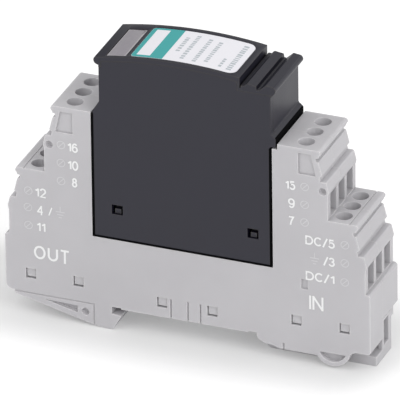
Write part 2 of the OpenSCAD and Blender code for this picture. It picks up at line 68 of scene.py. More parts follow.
# Places on the part, in millimetres of the shared frame: its front face, its lowest foot, and the crown,
# radius and middle of the plug's curved roof.
FRONT_Y = cad_box[0][1] / MM
FLOOR_Z = cad_box[0][2] / MM
ROOF_TOP, ROOF_R, ROOF_X = 66.4, 105.0, -1.5

# Thickness of printed ink, and what each next stroke of a word stands over the one before it.
INK = 0.02
LAYER = 0.001
# Least cosine of half a bend, below which a stroke's corner is cut short.
SHARPEST = 0.55


# Meshes

def put_mesh(name, points, faces, material, body, slot):
    """A new piece from points in millimetres (n, 3) and quads (m, 4), at the origin, riding on a body."""
    mesh = bpy.data.meshes.new(name)
    mesh.from_pydata(points * MM, [], faces.tolist())
    mesh.materials.append(material)
    shell = bmesh.new()
    shell.from_mesh(mesh)
    bmesh.ops.recalc_face_normals(shell, faces=shell.faces)
    shell.to_mesh(mesh)
    shell.free()
    piece = bpy.data.objects.new(name, mesh)
    bpy.context.scene.collection.objects.link(piece)
    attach(piece, body)
    return piece


def quads(rows, cols, wrap_rows=False, wrap_cols=False):
    """Quads of a grid whose point (i, j) is number i * cols + j.

    Each joins (i, j), (i, j + 1), (i + 1, j + 1) and (i + 1, j)."""
    i, j = np.meshgrid(np.arange(rows - (not wrap_rows)), np.arange(cols - (not wrap_cols)), indexing="ij")
    i2, j2 = (i + 1) % rows, (j + 1) % cols
    return np.stack([i * cols + j, i * cols + j2, i2 * cols + j2, i2 * cols + j], -1).reshape(-1, 4)


def slab(u, v, low, high):
    """A closed thin sheet over a grid: its top is (u, v, high) and its foot (u, v, low).

    One band of quads joins the two rims."""
    rows, cols = u.shape
    n = rows * cols
    points = np.concatenate([np.stack([u, v, w], -1).reshape(-1, 3) for w in (high, low)])
    number = np.arange(n).reshape(rows, cols)
    rim = np.concatenate([number[0, :-1], number[:-1, -1], number[-1, :0:-1], number[:0:-1, 0]])
    after = np.roll(rim, -1)
    band = np.stack([rim, after, after + n, rim + n], -1)
    sheet = quads(rows, cols)
    return points, np.concatenate([sheet[:, ::-1], sheet + n, band])


def joined(shapes):
    """One set of points and faces from many: each shape's face numbers move up by the points before it."""
    points, faces = zip(*shapes)
    before = np.cumsum([0, *map(len, points[:-1])])
    return np.concatenate(points), np.concatenate([f + n for f, n in zip(faces, before)])


def bow(cx, cz, rx, rz, start, end, steps=18):
    """Points of a part of an ellipse from one angle to another: (cx + rx cos a, cz + rz sin a)."""
    a = np.radians(np.linspace(start, end, steps))
    return np.stack([cx + rx * np.cos(a), cz + rz * np.sin(a)], -1)


def oval(cx, cz, rx, rz):
    """A whole ellipse, whose last point is its first."""
    return bow(cx, cz, rx, rz, 90, 450, 33)


def mitres(path, closed=False):
    """Offsets that keep a stroke's width round its bends.

    Each is the mean normal n of two steps, over the cosine of half the turn between them."""
    step = np.diff(path, axis=0, append=path[:1])
    step /= np.linalg.norm(step, axis=1, keepdims=True)
    after = step if closed else np.concatenate([step[:-1], step[-2:-1]])
    before = np.roll(step, 1, axis=0) if closed else np.concatenate([step[:1], step[:-1]])
    mean = before + after
    n = np.stack([-mean[:, 1], mean[:, 0]], -1)
    n /= np.linalg.norm(n, axis=1, keepdims=True)
    cosine = n[:, 1] * after[:, 0] - n[:, 0] * after[:, 1]
    return n / np.maximum(cosine, SHARPEST)[:, None]


def ribbon(path, width, lift):
    """A flat stroke on the front face, with two ends.

    The path p gives the two rows p - m and p + m, with m its mitre times half the width."""
    m = mitres(path) * width / 2
    side = np.array([-1.0, 1.0])
    x, z = path[:, :1] + m[:, :1] * side, path[:, 1:] + m[:, 1:] * side
    points, faces = slab(x, z, 0 * x, 0 * x + lift)
    return np.stack([points[:, 0], FRONT_Y - points[:, 2], points[:, 1]], -1), faces


def loop(path, width, lift):
    """A flat stroke that closes on itself: a rectangle, width by lift, carried once round the path."""
    m = mitres(path, True) * width / 2
    side, front = np.array([-1.0, 1.0, 1.0, -1.0]), FRONT_Y - lift * np.array([0.0, 0.0, 1.0, 1.0])
    x, z = path[:, :1] + m[:, :1] * side, path[:, 1:] + m[:, 1:] * side
    return np.stack([x, front + 0 * x, z], -1).reshape(-1, 3), quads(len(path), 4, True, True)


def stroke(path, width, lift=INK):
    """A flat stroke on the front face: a loop where the path ends on its start, and else a ribbon."""
    path = np.asarray(path, float)
    if np.allclose(path[0], path[-1]):
        return loop(path[:-1], width, lift)
    return ribbon(path, width, lift)


def roof_patch(x0, x1, y0, y1, low=0.0, high=INK, corner=0.0, steps=12):
    """A thin patch that lies on the plug's curved roof, z = top - R + sqrt((R + lift)^2 - (x - roof_x)^2).

    Its left-hand corners are rounded by pulling the Y ends in along a quarter circle."""
    t = np.linspace(0, 1, steps)
    x = x0 + (x1 - x0) * (1 - np.cos(t * np.pi / 2)) if corner else x0 + (x1 - x0) * t
    inset = np.maximum(x0 + corner - x, 0)
    pull = corner - np.sqrt(np.maximum(corner**2 - inset**2, 0))
    s = np.linspace(0, 1, 3)[None, :]
    u = x[:, None] + 0 * s
    v = (y0 + pull)[:, None] * (1 - s) + (y1 - pull)[:, None] * s

    def over(lift):
        return ROOF_TOP - ROOF_R + np.sqrt((ROOF_R + lift) ** 2 - (u - ROOF_X) ** 2)

    return slab(u, v, over(low), over(high))


# Finishes

def node_group(name, inputs, outputs):
    """An empty shader node group with named sockets, and its two end nodes."""
    group = bpy.data.node_groups.new(name, "ShaderNodeTree")
    for label, kind, value in inputs:
        socket = group.interface.new_socket(label, in_out="INPUT", socket_type=kind)
        socket.default_value = value
    for label, kind in outputs:
        group.interface.new_socket(label, in_out="OUTPUT", socket_type=kind)
    return group, group.nodes.new("NodeGroupInput"), group.nodes.new("NodeGroupOutput")


def feed(tree, socket, value):
    """Sets a socket to a plain value, or links it to another node's output."""
    if isinstance(value, (int, float, tuple)):
        socket.default_value = value
    else:
        tree.links.new(value, socket)


def noise(tree, coords, scale, detail=2.0):
    """A noise texture on the given coordinates, with its size in waves a metre."""
    n = tree.nodes.new("ShaderNodeTexNoise")
    n.inputs["Detail"].default_value = detail
    tree.links.new(coords, n.inputs["Vector"])
    feed(tree, n.inputs["Scale"], scale)
    return n.outputs["Fac"]


def spread(tree, value, low, high, from_low=0.3, from_high=0.7):
    """Maps a value from one range to another."""
    n = tree.nodes.new("ShaderNodeMapRange")
    tree.links.new(value, n.inputs["Value"])
    for label, end in (("From Min", from_low), ("From Max", from_high), ("To Min", low), ("To Max", high)):
        feed(tree, n.inputs[label], end)
    return n.outputs["Result"]


def mixed(tree, factor, a, b):
    """A mix of two colours."""
    n = tree.nodes.new("ShaderNodeMix")
    n.data_type = "RGBA"
    for socket, value in ((n.inputs[0], factor), (n.inputs[6], a), (n.inputs[7], b)):
        feed(tree, socket, value)
    return n.outputs[2]


def moulded_grain():
    """Spark-eroded mould surface: fine pits for the height and gloss, slow drifts of tone for the colour."""
    g, start, end = node_group(
        "moulded grain",
        [("Deep Colour", "NodeSocketColor", (0.4, 0.4, 0.4, 1)),
         ("Light Colour", "NodeSocketColor", (0.5, 0.5, 0.5, 1)),
         ("Pits per Metre", "NodeSocketFloat", 7000.0),
         ("Smoothest", "NodeSocketFloat", 0.4),
         ("Roughest", "NodeSocketFloat", 0.55)],
        [("Colour", "NodeSocketColor"), ("Roughness", "NodeSocketFloat"), ("Height", "NodeSocketFloat")])
    at = g.nodes.new("ShaderNodeTexCoord").outputs["Object"]
    drift = noise(g, at, 55.0, 3.0)
    pits = noise(g, at, start.outputs["Pits per Metre"], 1.5)
    both = mixed(g, 0.35, drift, pits)
    tone = spread(g, both, 0.0, 1.0)
    colour = mixed(g, tone, start.outputs["Deep Colour"], start.outputs["Light Colour"])
    gloss = spread(g, both, start.outputs["Smoothest"], start.outputs["Roughest"])
    for label, value in (("Colour", colour), ("Roughness", gloss), ("Height", pits)):
        g.links.new(value, end.inputs[label])
    return g


def drawn_metal():
    """Drawn or plated metal: fine lines along X for the gloss and height, cloudy plating for the colour."""
    g, start, end = node_group(
        "drawn metal",
        [("Dull Colour", "NodeSocketColor", (0.4, 0.4, 0.4, 1)),
         ("Bright Colour", "NodeSocketColor", (0.6, 0.6, 0.6, 1)),
         ("Smoothest", "NodeSocketFloat", 0.25),
         ("Roughest", "NodeSocketFloat", 0.45)],
        [("Colour", "NodeSocketColor"), ("Roughness", "NodeSocketFloat"), ("Height", "NodeSocketFloat")])
    at = g.nodes.new("ShaderNodeTexCoord").outputs["Object"]
    stretch = g.nodes.new("ShaderNodeMapping")
    stretch.inputs["Scale"].default_value = (1.0, 9.0, 9.0)
    g.links.new(at, stretch.inputs["Vector"])
    lines = noise(g, stretch.outputs["Vector"], 900.0)
    cloud = noise(g, at, 420.0, 3.0)
    both = mixed(g, 0.5, cloud, lines)
    tone = spread(g, both, 0.0, 1.0)
    colour = mixed(g, tone, start.outputs["Dull Colour"], start.outputs["Bright Colour"])
    gloss = spread(g, both, start.outputs["Smoothest"], start.outputs["Roughest"])
    for label, value in (("Colour", colour), ("Roughness", gloss), ("Height", lines)):
        g.links.new(value, end.inputs[label])
    return g


# Reach in metres of the painted shade and highlights, and the open shares of sky between which each comes
# in.
GROOVE_REACH, GROOVE_RANGE = 0.0014, (0.25, 0.9)
HOLLOW_REACH, HOLLOW_RANGE = 0.0022, (0.08, 0.42)
EDGE_RANGE = (0.45, 0.85)


def painted_shade_and_highlight():
    """Painted shade and highlights on a moulding, from how much of the sky its own walls leave open close
    by.

    Narrow grooves get painted shade, small holes take a painted hollow tone where nearly all of the sky is
    hidden, and edges take a painted highlight colour where the body ends close behind the surface."""
    g, start, end = node_group(
        "painted shade and highlight mould",
        [("Colour", "NodeSocketColor", (0.5, 0.5, 0.5, 1)),
         ("Groove Shade Share", "NodeSocketFloat", 0.8),
         ("Hollow Painted Tone", "NodeSocketColor", (0.5, 0.5, 0.5, 1)),
         ("Edge Highlight Colour", "NodeSocketColor", (0.6, 0.6, 0.6, 1)),
         ("Edge Reach", "NodeSocketFloat", 0.0004)],
        [("Colour", "NodeSocketColor")])

    def open_share(reach, inside=False):
        sky = g.nodes.new("ShaderNodeAmbientOcclusion")
        sky.only_local, sky.inside, sky.samples = True, inside, 8
        feed(g, sky.inputs["Distance"], reach)
        return sky.outputs["AO"]

    grooves = spread(g, open_share(GROOVE_REACH), start.outputs["Groove Shade Share"], 1.0, *GROOVE_RANGE)
    colour = mixed(g, grooves, (0, 0, 0, 1), start.outputs["Colour"])
    hollows = spread(g, open_share(HOLLOW_REACH), 1.0, 0.0, *HOLLOW_RANGE)
    colour = mixed(g, hollows, colour, start.outputs["Hollow Painted Tone"])
    edges = spread(g, open_share(start.outputs["Edge Reach"], inside=True), 1.0, 0.0, *EDGE_RANGE)
    g.links.new(mixed(g, edges, colour, start.outputs["Edge Highlight Colour"]), end.inputs["Colour"])
    return g


GRAIN = moulded_grain()
METAL = drawn_metal()
SHADE_AND_HIGHLIGHT = painted_shade_and_highlight()


def placed(tree, group, values):
    """A group in a material, with this material's own values on its sockets."""
    n = tree.nodes.new("ShaderNodeGroup")
    n.node_tree = group
    for label, value in values.items():
        n.inputs[label].default_value = (*value, 1.0) if isinstance(value, tuple) else value
    return n


def finish_of(name, group, values, bump, **plain):
    """A material whose colour, roughness and bump come from a group.

    Its constants are set on the shader's own sockets, and its bump is a strength and a depth in metres."""
    m = bpy.data.materials.new(name)
    m.use_nodes = True
    tree = m.node_tree
    shader = tree.nodes["Principled BSDF"]
    g = placed(tree, group, values)
    tree.links.new(g.outputs["Colour"], shader.inputs["Base Color"])
    tree.links.new(g.outputs["Roughness"], shader.inputs["Roughness"])
    relief = tree.nodes.new("ShaderNodeBump")
    relief.inputs["Strength"].default_value, relief.inputs["Distance"].default_value = bump
    tree.links.new(g.outputs["Height"], relief.inputs["Height"])
    tree.links.new(relief.outputs["Normal"], shader.inputs["Normal"])
    for label, value in plain.items():
        shader.inputs[label.replace("_", " ").title().replace("Ior", "IOR")].default_value = value
    return m


def plastic(name, deep, light, smoothest, roughest, pits=7000.0, bump=(0.12, 0.00004), painted_light=None, **plain):
    """A moulded plastic with its two tones and its gloss range, and its painted groove shade, hollow tone
    and edge highlight where it has them.
    """
    tones = {"Deep Colour": deep, "Light Colour": light, "Pits per Metre": pits,
             "Smoothest": smoothest, "Roughest": roughest}
    m = finish_of(name, GRAIN, tones, bump, **plain)
    if painted_light:
        tree = m.node_tree
        painted_node = placed(tree, SHADE_AND_HIGHLIGHT, painted_light)
        base = tree.nodes["Principled BSDF"].inputs["Base Color"]
        tree.links.new(base.links[0].from_socket, painted_node.inputs["Colour"])
        tree.links.new(painted_node.outputs["Colour"], base)
    return m


def metal(name, dull, bright, smoothest, roughest):
    """A plated or drawn metal with its two tones and its gloss range."""
    tones = {"Dull Colour": dull, "Bright Colour": bright, "Smoothest": smoothest, "Roughest": roughest}
    return finish_of(name, METAL, tones, bump=(0.15, 0.00003), metallic=1.0)


# Pale plastic with painted light: painted shade in grooves, a lighter painted fill in small holes, and a
# painted highlight on edges.
PALE = plastic("pale grey plastic", (0.497, 0.487, 0.507), (0.55, 0.54, 0.56), 0.45, 0.6,
               painted_light={"Groove Shade Share": 0.78, "Hollow Painted Tone": (0.85, 0.84, 0.86),
                     "Edge Highlight Colour": (0.61, 0.6, 0.61)},
               subsurface_weight=0.4, subsurface_radius=(1.0, 1.0, 1.0), subsurface_scale=0.0015)
# Black plastic with painted shade in grooves and small holes, and a painted highlight on its edges.
DARK = plastic("black plastic", (0.006, 0.0055, 0.0145), (0.0095, 0.009, 0.0195), 0.36, 0.5, pits=8000.0,
               painted_light={"Groove Shade Share": 0.6, "Hollow Painted Tone": (0.003, 0.003, 0.005),
                     "Edge Highlight Colour": (0.03, 0.027, 0.028)})
# Near-black dull finish of the strip that stands in for the shadow in the gap round the plug: painted shade.
GAP_SHADOW_BLACK = plastic("black for painted gap shadow", (0.0015, 0.0015, 0.002), (0.003, 0.003, 0.0035), 0.75, 0.9,
                 specular_ior_level=0.04)
FILM = plastic("white label film", (0.8, 0.79, 0.84), (0.85, 0.845, 0.885), 0.35, 0.45, pits=2500.0,
               bump=(0.05, 0.00002))
# Tinted window whose edges get a painted highlight; its holes keep about its own colour.
WINDOW = plastic("tinted window", (0.233, 0.216, 0.241), (0.274, 0.253, 0.282), 0.12, 0.2, pits=900.0,
                 bump=(0.03, 0.00003),
                 painted_light={"Groove Shade Share": 1.0, "Hollow Painted Tone": (0.25, 0.23, 0.255),
                       "Edge Highlight Colour": (0.62, 0.6, 0.62), "Edge Reach": 0.00065}, coat_weight=0.5)
INK_WHITE = plastic("white ink", (0.83, 0.83, 0.84), (0.9, 0.9, 0.9), 0.45, 0.6, pits=9000.0)
INK_FAINT = plastic("faint white ink", (0.61, 0.605, 0.625), (0.67, 0.665, 0.68), 0.45, 0.6, pits=9000.0)
INK_GREY = plastic("grey ink", (0.42, 0.46, 0.49), (0.5, 0.54, 0.57), 0.45, 0.6, pits=9000.0)
INK_TEAL = plastic("teal ink", (0.026, 0.345, 0.342), (0.042, 0.385, 0.382), 0.4, 0.5, pits=9000.0)
BOARD = plastic("board lacquer", (0.012, 0.07, 0.03), (0.03, 0.13, 0.06), 0.25, 0.4, pits=1500.0)
CERAMIC = plastic("tube ceramic", (0.66, 0.62, 0.56), (0.75, 0.72, 0.66), 0.3, 0.45, pits=3000.0)
RESISTOR = plastic("resistor lacquer", (0.08, 0.17, 0.26), (0.13, 0.25, 0.34), 0.3, 0.45, pits=3000.0)
EPOXY = plastic("black epoxy", (0.008, 0.008, 0.008), (0.02, 0.02, 0.02), 0.4, 0.55, pits=4000.0)
STEEL = metal("zinc plated steel", (0.46, 0.47, 0.49), (0.66, 0.67, 0.68), 0.28, 0.48)
COPPER = metal("tinned copper", (0.55, 0.42, 0.31), (0.72, 0.58, 0.45), 0.25, 0.45)

FINISH = {"base": PALE, "rail_latch": PALE, "plug_body": DARK, "plug_cover": DARK, "plug_label": FILM,
          "status_window": WINDOW, "circuit_board": BOARD, "contact_blades": COPPER, "busbars": COPPER,
          "gas_tube_bodies": CERAMIC, "gas_tube_caps": STEEL, "series_resistors": RESISTOR,
          "suppressor_diodes": EPOXY, "screw": STEEL, "cage": STEEL, "rail_contact": STEEL,
          "latch_spring": STEEL}

# Widths of the rounded edges in millimetres, by how a node's name starts.
ROUNDED = {"base": 0.12, "plug_body": 0.18, "plug_cover": 0.12, "rail_latch": 0.15, "status_window": 0.12,
           "screw": 0.1, "cage": 0.08, "gas_tube": 0.25}
# Points closer than this in millimetres are one, and turns in degrees under or over these are flat or sharp.
WELD = 0.002
FLAT, SHARP = 1.0, 35.0


def dress(name, node):
    """Gives a CAD node its finish, chosen by the longest name that starts the node's own."""
    key = max((k for k in FINISH if name.startswith(k)), key=len)
    node.data.materials.clear()
    node.data.materials.append(FINISH[key])


def soften(node, width):
    """Rounds a part's edges: loose triangles are welded, flat faces made whole and sharp edges rounded."""
    weld = node.modifiers.new("weld", "WELD")
    weld.merge_threshold = WELD * MM
    flat = node.modifiers.new("whole faces", "DECIMATE")
    flat.decimate_type, flat.angle_limit = "DISSOLVE", math.radians(FLAT)
    edge = node.modifiers.new("round edges", "BEVEL")
    edge.width, edge.segments = width * MM, 2
    edge.limit_method, edge.angle_limit = "ANGLE", math.radians(SHARP)
    edge.harden_normals = True
    edge.use_clamp_overlap = True


for name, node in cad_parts.items():
    dress(name, node)
    for key, width in ROUNDED.items():
        if name.startswith(key):
            soften(node, width)


# Print on the front face

# Widths of the pen for words and for thin signs, in millimetres.
PEN = 0.39
THIN_PEN = 0.2
# Gap between two signs of a word, on the same scale as the signs' widths.
GAP = 0.24

RING = oval(0.5, 0.5, 0.5, 0.5)
SIX = [np.concatenate([bow(0.5, 0.5, 0.48, 0.5, 42, 180), [[0.02, 0.31]]]), oval(0.5, 0.31, 0.48, 0.31)]
# Each sign's width on a scale that its word sets, and its strokes' middle lines in a box of one by one.
SIGNS = {
    "0": (0.56, [RING]),
    "1": (0.3, [[[1, 0], [1, 1]], [[0, 0.74], [0.55, 0.8], [1, 0.97]]]),
    "2": (0.56, [np.concatenate([bow(0.48, 0.71, 0.46, 0.29, 172, -38), [[0.02, 0], [1, 0]]])]),
    "3": (0.56, [bow(0.47, 0.755, 0.43, 0.245, 165, -90), bow(0.47, 0.27, 0.5, 0.27, 90, -165)]),
    "4": (0.62, [[[0.74, -0.06], [0.74, 1.06]], [[0.74, 1], [0.02, 0.3]], [[-0.1, 0.3], [1, 0.3]]]),
    "5": (0.56, [np.concatenate([[[0.9, 1], [0.2, 1], [0.08, 0.47]],
                                 bow(0.48, 0.33, 0.5, 0.33, 132, -160)])]),
    "6": (0.56, SIX),
    "7": (0.56, [[[0, 1], [1, 1], [0.56, 0.5], [0.34, 0]]]),
    "8": (0.56, [oval(0.5, 0.76, 0.42, 0.24), oval(0.5, 0.27, 0.5, 0.27)]),
    "9": (0.56, [1 - s for s in SIX]),
    "/": (0.34, [[[-0.15, -0.1], [1.15, 1.1]]]),
    "C": (0.7, [bow(0.52, 0.5, 0.52, 0.5, 42, 318, 30)]),
    "D": (0.68, [np.concatenate([[[0, 0.5], [0, 1]], bow(0.42, 0.5, 0.58, 0.5, 90, -90),
                                 [[0, 0], [0, 0.55]]])]),
    "I": (0.001, [[[0, -0.06], [0, 1.06]]]),
    "N": (0.68, [[[0, -0.06], [0, 1.06]], [[0.02, 1], [0.98, 0]], [[1, -0.06], [1, 1.06]]]),
    "O": (0.8, [RING]),
    "T": (0.66, [[[0, 1], [1, 1]], [[0.5, 1], [0.5, 0]]]),
    "U": (0.68, [np.concatenate([[[0, 1]], bow(0.5, 0.36, 0.5, 0.36, 180, 360), [[1, 1]]])]),
}


def word(text, x0, x1, z0, height, pen=PEN):
    """Signs in a row on the front face, as strokes.

    Their boxes and gaps are scaled to fill x0..x1, and they stand on z0 with the given height."""
    wide = [SIGNS[c][0] for c in text]
    scale = (x1 - x0 - pen) / (sum(wide) + GAP * (len(text) - 1))
    shapes = []
    for k, c in enumerate(text):
        left = x0 + pen / 2 + scale * (sum(wide[:k]) + GAP * k)
        for path in SIGNS[c][1]:
            path = np.asarray(path, float) * (wide[k] * scale, height - pen) + (left, z0 + pen / 2)
            shapes.append(stroke(path, pen, INK + LAYER * len(shapes)))
    return shapes


# Each word with its left and right ends, its foot and its height, and its pen where it isn't the usual one:
# the IN end first, then the OUT end, both from the top down.
WORDS = (
    ("15", 24.42, 27.0, 38.94, 2.3), ("9", 25.12, 26.82, 34.25, 2.5), ("7", 25.12, 26.6, 29.7, 2.44),
    ("DC/5", 29.28, 36.52, 25.55, 2.32), ("/3", 33.7, 36.5, 20.88, 2.32), ("DC/1", 29.3, 36.36, 16.35, 2.32),
    ("IN", 30.11, 33.6, 8.85, 3.64, 0.48),
    ("16", -29.1, -26.42, 38.77, 2.43), ("10", -29.13, -26.4, 34.15, 2.45),
    ("8", -28.07, -26.74, 29.76, 2.43), ("12", -37.34, -34.45, 25.58, 2.46),
    ("4", -36.9, -35.29, 20.96, 2.53, 0.34), ("/", -34.01, -33.12, 21.33, 2.05, 0.3),
    ("11", -37.07, -34.85, 16.62, 2.48),
    ("O", -37.85, -34.94, 9.44, 3.48, 0.52), ("U", -34.42, -31.84, 9.47, 3.52, 0.52),
    ("T", -31.43, -28.9, 9.09, 3.83, 0.5))
put_mesh("front_print", *joined([s for w in WORDS for s in word(*w)]), INK_WHITE, "base", "pale_plastic")


def earth_sign(cx, top, stem=1.4, first=1.43, pitch=0.715, bar_pen=0.22):
    """A stem over three bars that shorten downwards, the first of them at the stem's foot."""
    bars = [stroke([[cx, top], [cx, top - stem]], THIN_PEN)]
    for k, half in enumerate((1.1, 0.75, 0.4)):
        z = top - first - pitch * k
        bars.append(stroke([[cx - half, z], [cx + half, z]], bar_pen, INK + LAYER))
    return bars


def screw_sign(cx, cz, radius=0.95, slot=0.8):
    """A thin circle with a slot across it, which reaches out at 45 degrees both ways."""
    reach = slot * math.sqrt(0.5)
    return [stroke(oval(cx, cz, radius, radius), THIN_PEN),
            stroke([[cx - reach, cz - reach], [cx + reach, cz + reach]], THIN_PEN, INK + LAYER)]


# Middles of the screw signs, one beside each screw's number: the IN end first, then the OUT end.
SCREW_SIGNS = (
    (29.26, 40.29), (29.2, 35.69), (29.15, 31.11), (38.95, 27.03), (38.9, 22.35), (38.84, 17.41),
    (-30.63, 40.19), (-30.69, 35.51), (-30.75, 30.83), (-38.95, 26.86), (-39.13, 22.54), (-39.06, 17.88))
EARTH_SIGNS = (31.5, 23.72), (-31.11, 24.1)
marks = [s for at in EARTH_SIGNS for s in earth_sign(*at)]
marks += [s for at in SCREW_SIGNS for s in screw_sign(*at)]
put_mesh("front_signs", *joined(marks), INK_FAINT, "base", "pale_plastic")


# Painted shadow: a black strip round the foot and collar of the plug

# The strip's two lines (x, z), and its outer and inner distance from the middle of the part's thickness.
STRIP_OUTER = np.array([[-23.15, 49.7], [-23.15, 17.94], [20.95, 17.94], [20.95, 48.4]])
STRIP_INNER = np.array([[-22.55, 49.7], [-22.55, 18.45], [20.53, 18.45], [20.53, 48.4]])
STRIP_FACE, STRIP_DEPTH = 8.8, 7.7
# The middle and radius of the collar's rounded end, and how far its strip goes down and to each side.
COLLAR_X, COLLAR_Z, COLLAR_R = 21.62, 50.9, 0.6
COLLAR_DOWN, COLLAR_HALF = 1.75, 8.7


def gap_shadow_strip(face, depth):
    """A black strip that paints the shadow in the gap: it fills most of the gap to the base and laps onto
    the plug.

    It is the quads between an outer line and an inner one, from one depth to another."""
    line = np.stack([STRIP_OUTER, STRIP_INNER], 1)
    low, high = 0 * line[..., 0] + face, 0 * line[..., 0] + depth
    points, faces = slab(line[..., 0], line[..., 1], low, high)
    return points[:, [0, 2, 1]], faces


def collar_shadow_strip(proud=0.04, sunk=0.15):
    """A black strip across the collar's end, which paints the dark band there as shadow, carried across the
    plug's width.

    Its section follows the collar's rounded top, (x + r cos a, z + r sin a), and then its upright side, once
    proud of the collar and once sunk in it."""
    a = np.radians(np.linspace(50, 0, 9))

    def section(r):
        x, z = COLLAR_X + r * np.cos(a), COLLAR_Z + r * np.sin(a)
        return np.append(x, x[-1]), np.append(z, COLLAR_Z - COLLAR_DOWN)

    (x, z), (back_x, back_z) = section(COLLAR_R + proud), section(COLLAR_R - sunk)
    y = np.array([-COLLAR_HALF, COLLAR_HALF])[:, None]
    ring_x, ring_z = np.concatenate([x, back_x[::-1]]), np.concatenate([z, back_z[::-1]])
    n = len(ring_x)
    points = np.stack([ring_x + 0 * y, 0 * ring_x + y, ring_z + 0 * y], -1).reshape(-1, 3)
    i = np.arange(n // 2 - 1)
    cap = np.stack([i, i + 1, n - 2 - i, n - 1 - i], -1)
    return points, np.concatenate([quads(2, n, False, True), cap, cap + n])


# The strips are painted shadow: black sheets where there is only shade in the gap and under the collar.
shadow_strips = joined([gap_shadow_strip(-STRIP_FACE, -STRIP_DEPTH), gap_shadow_strip(STRIP_FACE, STRIP_DEPTH), collar_shadow_strip()])
put_mesh("plug_painted_shadow_strip", *shadow_strips, GAP_SHADOW_BLACK, "plug", "black_plastic")


# Print on the label

# Each patch's ends along the label, then across it.
TEAL = (-13.55, -5.8, -7.85, 7.05)
PLATE = (-12.4, -9.1, -6.9, 6.2)
put_mesh("label_teal_print", *roof_patch(*TEAL, corner=0.85), INK_TEAL, "plug", "label")
put_mesh("label_plate_print", *roof_patch(*PLATE, low=INK, high=1.6 * INK), FILM, "plug", "label")

# Each row of dashes: its place along the label, its two ends across it, and its height.
ROWS = ((-3.9, -3.1, 4.0, 0.95), (-1.7, -6.3, 5.5, 0.95), (1.4, -6.6, 4.9, 0.95), (4.0, -5.6, 4.5, 0.95),
        (7.6, -6.3, -2.2, 0.7), (9.9, -6.7, 5.6, 1.2))
# Shortest and longest dash and gap before they are scaled, and their usual sum.
DASH, SPACE, DASH_PITCH = (0.4, 0.8), (0.25, 0.5), 0.95


def dashes(x, y0, y1, height, draw):
    """A row of short dashes across the label: seeded lengths and gaps, added up and scaled to fill it."""
    n = max(2, round((y1 - y0) / DASH_PITCH))
    length, gap = draw.uniform(*DASH, n), draw.uniform(*SPACE, n)
    scale = (y1 - y0) / (length.sum() + gap[:-1].sum())
    start = y0 + scale * np.concatenate([[0], np.cumsum(length + gap)[:-1]])
    ends = zip(start, start + scale * length)
    return [roof_patch(x - height / 2, x + height / 2, a, b, steps=3) for a, b in ends]


draw = np.random.default_rng(7)
rows = joined([d for row in ROWS for d in dashes(*row, draw)])
put_mesh("label_grey_print", *rows, INK_GREY, "plug", "label")


# Latch spring

def strip_spring(x0, x1, low, high, half_wide, runs=6, strip=0.35):
    """A flat strip bent to and fro: a rectangle carried along a path, and closed by a face at each end.

    The path has upright runs at x0 + i * pitch, joined below and above in turn by half circles,
    (middle - r cos a, end + or - r sin a)."""
    pitch = (x1 - x0 - strip) / (runs - 1)
    r = pitch / 2
    i, a = np.meshgrid(np.arange(runs - 1), np.linspace(0, np.pi, 13), indexing="ij")
    down = np.where(i % 2 == 0, -1.0, 1.0)
    reach = (high - low - strip) / 2 - r
    x = x0 + strip / 2 + i * pitch + r - r * np.cos(a)
    z = (low + high) / 2 + down * (reach + r * np.sin(a))
    turns = np.stack([x.ravel(), z.ravel()], -1)
    first, last = turns[0] + (0, 2 * reach), turns[-1] + (0, 2 * reach * (1 if runs % 2 == 0 else -1))
    path = np.concatenate([[first], turns, [last]])
    m = mitres(path) * strip / 2
    side, deep = np.array([-1.0, -1.0, 1.0, 1.0]), np.array([-1.0, 1.0, 1.0, -1.0]) * half_wide
    u, v = path[:, :1] + m[:, :1] * side, path[:, 1:] + m[:, 1:] * side
    points = np.stack([u, deep + 0 * u, v], -1).reshape(-1, 3)
    corner = np.arange(4)
    ends = [corner[::-1], corner + 4 * (len(path) - 1)]
    return points, np.concatenate([quads(len(path), 4, False, True), ends])


spring_low, spring_high = (np.array(corner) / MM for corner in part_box("latch_spring"))
spring_shape = strip_spring(spring_low[0], spring_high[0], spring_low[2], spring_high[2], spring_high[1])
spring = put_mesh("latch_strip_spring", *spring_shape, STEEL, "base", "steel")
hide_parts("latch_spring")
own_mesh(spring)


# Stage, light and camera

# The painted shadow on the floor near the part: the middle and half sizes of a rectangle, the distances from
# it where the shadow's tone starts and ends its rise to white, all in metres, and the tone at the start.
SHADE_MIDDLE, SHADE_HALF = (-0.008, 0.0025, FLOOR_Z * MM), (0.044, 0.0095, 0.0)
SHADE_START, SHADE_END, SHADE_TONE = 0.004, 0.021, 0.76
# The floor's tone for scattered light, its tone where it is seen, and the white of its own added to that.
FLOOR_PAPER, FLOOR_SEEN, FLOOR_GLOW = 0.8, 0.85, 0.265
# Rings of the floor's disc in metres, and its sides.
FLOOR_RINGS, FLOOR_SIDES = (0.0, 0.5, 1.5, 4.0), 48
# What the lamps face.
PART_MIDDLE = Vector((0, 0, 0.03))


def seen_by_eye(tree):
    """One where a ray comes from the camera, a mirror or a clear body, and nought for scattered light."""
    path = tree.nodes.new("ShaderNodeLightPath")
    total = path.outputs["Is Camera Ray"]
    for label in ("Is Glossy Ray", "Is Transmission Ray"):
        either = tree.nodes.new("ShaderNodeMath")
        either.operation = "MAXIMUM"
        tree.links.new(total, either.inputs[0])
        tree.links.new(path.outputs[label], either.inputs[1])
        total = either.outputs[0]
    return total


